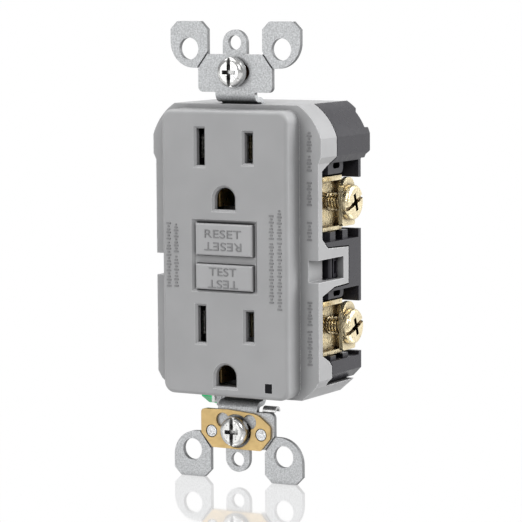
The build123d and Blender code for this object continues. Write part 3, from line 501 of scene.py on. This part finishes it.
def sense_winding(node):
    """Wire wound through and round a ring, in one closed run."""
    low, high = [Vector(corner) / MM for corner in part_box(node)]
    middle = (low + high) / 2
    half_depth = (high.y - low.y) / 2 - 0.2
    wire, inner, outer = 0.2, 2.8, 4.9
    bm = bmesh.new()
    rings = []
    steps = SENSE_TURNS * SENSE_STEPS
    for step in range(steps):
        around = step / steps * 2 * math.pi
        through = step / SENSE_STEPS * 2 * math.pi
        outward = Vector((math.cos(around), 0, math.sin(around)))
        reach = (inner + outer) / 2 + (outer - inner) / 2 * math.cos(through)
        spot = middle + outward * reach + Vector((0, half_depth * math.sin(through), 0))
        away = outward * math.cos(through) + Vector((0, math.sin(through), 0))
        side = outward.cross(Vector((0, 1, 0)))
        corners = []
        for corner in range(SENSE_WIRE_SIDES):
            turn = corner / SENSE_WIRE_SIDES * 2 * math.pi
            corners.append(bm.verts.new((spot + wire * (math.cos(turn) * away + math.sin(turn) * side)) * MM))
        rings.append(corners)
    close_tube(bm, rings, looped=True)
    bmesh.ops.recalc_face_normals(bm, faces=bm.faces)
    winding = add_piece(f"{node}_winding", bm, "coil_wire", "receptacle", 60)
    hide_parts(node)


# ---- walls that close the view through the body, in front of the terminal plates ----
RECESS_SPANS = ((2.8, 20.9), (-24.9, -8.6))    # lowest and highest Z of each row
WALL_MIDDLE = (14.2, 1.1)                      # X and Y
WALL_SIZE = (0.5, 2.1)                         # along X and Y


def recess_walls():
    """Dark walls between the cover's flange and the strap, where the CAD can be seen through."""
    bm = bmesh.new()
    for low, high in RECESS_SPANS:
        for side in (-1, 1):
            middle = Vector((side * WALL_MIDDLE[0], WALL_MIDDLE[1], (low + high) / 2))
            size = Matrix.Diagonal((WALL_SIZE[0] * MM, WALL_SIZE[1] * MM, (high - low) * MM, 1))
            bmesh.ops.create_cube(bm, size=1.0, matrix=Matrix.Translation(middle * MM) @ size)
    add_piece("recess_walls", bm, "housing_dark", "receptacle")


# ---- raised legends and marks ----
# surfaces that the marks stand on: places on Y, in millimetres
BUTTON_FRONT = -7.1
FACE_Y = -6.75
FLANGE_Y = -1.0

LEGEND_TALL = 2.0
LEGEND_RELIEF = 0.10
LEGEND_THINNED = 0.05
LEGEND_BEVEL = 0.035
SIZE_PER_CAPITAL = 1.38          # font size over the height of its capitals


def legend(name, text, x_mm, z_mm, width_mm, upside_down, body):
    """Plain raised capitals on a button, fitted to a width."""
    curve = bpy.data.curves.new(name, "FONT")
    curve.body = text
    curve.align_x = "CENTER"
    curve.align_y = "CENTER"
    curve.extrude = LEGEND_RELIEF * MM
    curve.offset = -LEGEND_THINNED * MM
    curve.bevel_depth = LEGEND_BEVEL * MM
    curve.size = LEGEND_TALL * MM * SIZE_PER_CAPITAL
    obj = bpy.data.objects.new(name, curve)
    bpy.context.scene.collection.objects.link(obj)
    bpy.context.view_layer.update()
    stretch = width_mm * MM / obj.dimensions.x
    spin = Matrix.Rotation(math.pi if upside_down else 0.0, 4, "Y")
    place = Matrix.Translation(Vector((x_mm, BUTTON_FRONT, z_mm)) * MM)
    face_out = Matrix.Rotation(math.pi / 2, 4, "X")
    obj.matrix_world = place @ spin @ face_out @ Matrix.Diagonal((stretch, 1, 1, 1))
    # painted shade: the letters take a darker copy of the button's grey
    paint(obj, "button_grey", RELIEF)
    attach(obj, body)
    return obj


def legends():
    """Each word twice, upright and upside down: its rows are X, Z and width."""
    for word, body, rows in (
        ("RESET", "reset_button", ((-0.25, 4.62, 9.6), (-0.05, 1.95, 9.8))),
        ("TEST", "test_button", ((-0.25, -4.10, 7.2), (-0.2, -6.72, 7.9))),
    ):
        for index, (x, z, width) in enumerate(rows):
            legend(f"{word.lower()}_legend_{index}", word, x, z, width, index == 1, body)


# a tick's length along X (they take turns), its thickness along Z, the step up and the height
TICK_TALL = (1.15, 0.6, 1.15, 0.85, 0.5)
TICK_WIDE = 0.28
TICK_STEP = 0.74
TICK_RELIEF = 0.14
# each run of plain ticks: X of its middle, lowest and highest Z, and the surface it stands on
TICK_RUNS = (
    (-14.8, -7.9, 2.2, FACE_Y), (-14.8, 3.1, 6.7, FACE_Y),
    (-12.8, -7.8, -1.0, FACE_Y), (-12.8, 0.2, 6.5, FACE_Y),
    (12.4, -10.4, 3.0, FACE_Y), (12.4, 4.2, 9.4, FACE_Y),
    (14.5, -11.9, 3.2, FACE_Y), (14.5, 4.2, 10.6, FACE_Y),
    (19.2, 24.0, 28.1, FLANGE_Y), (19.2, 19.6, 22.7, FLANGE_Y), (19.2, 11.7, 16.7, FLANGE_Y),
    (19.2, 3.7, 7.6, FLANGE_Y), (19.2, -15.8, -10.7, FLANGE_Y), (19.2, -25.0, -17.4, FLANGE_Y),
)


def ticks():
    """Low raised tick marks where the real face has moulded wording."""
    bm = bmesh.new()
    for x, low, high, surface in TICK_RUNS:
        count = round((high - low) / TICK_STEP)
        for index in range(count + 1):
            height = low + (high - low) * index / count
            middle = Vector((x, surface - TICK_RELIEF / 2, height))
            tall = TICK_TALL[index % len(TICK_TALL)]
            size = Matrix.Diagonal((tall * MM, TICK_RELIEF * MM, TICK_WIDE * MM, 1))
            bmesh.ops.create_cube(bm, size=1.0, matrix=Matrix.Translation(middle * MM) @ size)
    # painted shade: the ticks take a darker copy of the cover's grey
    paint(add_piece("moulded_ticks", bm, "cover_grey", "receptacle"), "cover_grey", RELIEF)


# ---- camera, floor and light ----
# place, turn and focal length, fitted to the photo
CAMERA_MM = (319.5389, -558.7192, 66.2496)
YAW, PITCH, ROLL = 0.5115209, 0.1058198, -0.0065562
FOCAL_PX = 2795.468
PICTURE_PX = 522
SENSOR_MM = 36.0
FLOOR_Z = -0.0533


def add_camera():
    data = bpy.data.cameras.new("camera")
    data.sensor_width = SENSOR_MM
    data.lens = FOCAL_PX / PICTURE_PX * SENSOR_MM
    data.clip_start = 0.01
    camera = bpy.data.objects.new("camera", data)
    bpy.context.scene.collection.objects.link(camera)
    forward = Vector((-math.sin(YAW) * math.cos(PITCH), math.cos(YAW) * math.cos(PITCH), -math.sin(PITCH)))
    level = Vector((math.cos(YAW), math.sin(YAW), 0.0))
    above = level.cross(forward)
    right = math.cos(ROLL) * level + math.sin(ROLL) * above
    up = -math.sin(ROLL) * level + math.cos(ROLL) * above
    turn = Matrix((right, up, -forward)).transposed().to_4x4()
    camera.matrix_world = Matrix.Translation(Vector(CAMERA_MM) * MM) @ turn
    bpy.context.scene.camera = camera


FLOOR_HALF = 4.0
FLOOR_GLOSS = 0.40
FLOOR_BOUNCE = 0.38              # how much of the floor's glow lights the object
GLOSS_ENDS = (0.08, 0.17)        # the gloss fades out between these distances from the origin
WHITE = (1.0, 1.0, 1.0, 1.0)


def add_floor():
    """White and glowing, with a polished patch under the object that fades out round it."""
    mesh = bpy.data.meshes.new("floor")
    signs = ((-1, -1), (1, -1), (1, 1), (-1, 1))
    corners = [(x * FLOOR_HALF, y * FLOOR_HALF, FLOOR_Z) for x, y in signs]
    mesh.from_pydata(corners, [], [(0, 1, 2, 3)])
    floor = bpy.data.objects.new("floor", mesh)
    bpy.context.scene.collection.objects.link(floor)
    material = bpy.data.materials.new("white_acrylic")
    material.use_nodes = True
    tree = material.node_tree
    tree.nodes.clear()
    glow = tree.nodes.new("ShaderNodeEmission")
    gloss = tree.nodes.new("ShaderNodeBsdfGlossy")
    gloss.inputs["Color"].default_value = WHITE
    gloss.inputs["Roughness"].default_value = 0.05
    mixer = tree.nodes.new("ShaderNodeMixShader")
    place = tree.nodes.new("ShaderNodeNewGeometry")
    reach = tree.nodes.new("ShaderNodeVectorMath")
    reach.operation = "LENGTH"
    tree.links.new(place.outputs["Position"], reach.inputs[0])
    fade = tree.nodes.new("ShaderNodeMapRange")
    near, far = GLOSS_ENDS
    for name, value in (("From Min", near), ("From Max", far), ("To Min", FLOOR_GLOSS), ("To Max", 0.0)):
        fade.inputs[name].default_value = value
    tree.links.new(reach.outputs["Value"], fade.inputs["Value"])
    tree.links.new(fade.outputs["Result"], mixer.inputs[0])
    output = tree.nodes.new("ShaderNodeOutputMaterial")
    tree.links.new(glow.outputs[0], mixer.inputs[1])
    tree.links.new(gloss.outputs[0], mixer.inputs[2])
    tree.links.new(mixer.outputs[0], output.inputs["Surface"])
    mesh.materials.append(material)
    path = tree.nodes.new("ShaderNodeLightPath")
    dimmer = tree.nodes.new("ShaderNodeMapRange")
    dimmer.inputs["To Min"].default_value = 1.0
    dimmer.inputs["To Max"].default_value = FLOOR_BOUNCE
    tree.links.new(path.outputs["Is Diffuse Ray"], dimmer.inputs["Value"])
    tree.links.new(dimmer.outputs["Result"], glow.inputs["Strength"])


def add_light(name, place, size, watts):
    """A rectangular softbox that points at the object's middle."""
    data = bpy.data.lights.new(name, "AREA")
    data.shape = "RECTANGLE"
    data.size, data.size_y = size
    data.energy = watts
    light = bpy.data.objects.new(name, data)
    bpy.context.scene.collection.objects.link(light)
    turn = (-Vector(place)).to_track_quat("-Z", "Y").to_matrix().to_4x4()
    light.matrix_world = Matrix.Translation(place) @ turn


STUDIO_LOW = 0.25
STUDIO_HIGH = 0.55


def add_world():
    """White to the camera and behind the object; a soft grey studio, darker low down, elsewhere."""
    world = bpy.data.worlds.new("studio")
    world.use_nodes = True
    tree = world.node_tree

    def ramp(socket, low, high, out_low, out_high):
        made = tree.nodes.new("ShaderNodeMapRange")
        for name, value in (("From Min", low), ("From Max", high), ("To Min", out_low), ("To Max", out_high)):
            made.inputs[name].default_value = value
        tree.links.new(socket, made.inputs["Value"])
        return made.outputs["Result"]

    coords = tree.nodes.new("ShaderNodeTexCoord")
    split = tree.nodes.new("ShaderNodeSeparateXYZ")
    tree.links.new(coords.outputs["Generated"], split.inputs[0])
    studio = ramp(split.outputs["Z"], -0.3, 0.6, STUDIO_LOW, STUDIO_HIGH)
    height = tree.nodes.new("ShaderNodeMath")
    height.operation = "ABSOLUTE"
    tree.links.new(split.outputs["Z"], height.inputs[0])
    behind = tree.nodes.new("ShaderNodeMath")
    behind.operation = "MULTIPLY"
    tree.links.new(ramp(split.outputs["Y"], 0.25, 0.6, 0.0, 1.0), behind.inputs[0])
    tree.links.new(ramp(height.outputs[0], 0.3, 0.6, 1.0, 0.0), behind.inputs[1])
    backdrop = tree.nodes.new("ShaderNodeMix")
    backdrop.data_type = "FLOAT"
    tree.links.new(behind.outputs[0], backdrop.inputs[0])
    tree.links.new(studio, backdrop.inputs[2])
    backdrop.inputs[3].default_value = 1.0
    background = tree.nodes["Background"]
    tree.links.new(backdrop.outputs[0], background.inputs["Color"])
    path = tree.nodes.new("ShaderNodeLightPath")
    seen = tree.nodes.new("ShaderNodeBackground")
    seen.inputs["Color"].default_value = WHITE
    mixer = tree.nodes.new("ShaderNodeMixShader")
    tree.links.new(path.outputs["Is Camera Ray"], mixer.inputs[0])
    tree.links.new(background.outputs[0], mixer.inputs[1])
    tree.links.new(seen.outputs[0], mixer.inputs[2])
    tree.links.new(mixer.outputs[0], tree.nodes["World Output"].inputs["Surface"])
    bpy.context.scene.world = world


def add_lights():
    add_light("key_right", (0.62, 0.42, 0.40), (0.4, 0.7), 5.6)
    add_light("top", (-0.25, -0.1, 0.62), (0.6, 0.5), 2.6)
    add_light("front_left", (-0.36, -0.84, 0.18), (0.40, 0.5), 1.2)
    add_light("front_right", (0.52, -0.60, 0.48), (0.3, 0.3), 2.4)


bpy.context.scene.view_settings.view_transform = "Standard"
dress_nodes()
thread_all_screws()
springs()
solenoid_winding()
sense_winding("front_sense_coil")
sense_winding("rear_sense_coil")
recess_walls()
legends()
ticks()
add_camera()
add_floor()
add_world()
add_lights()
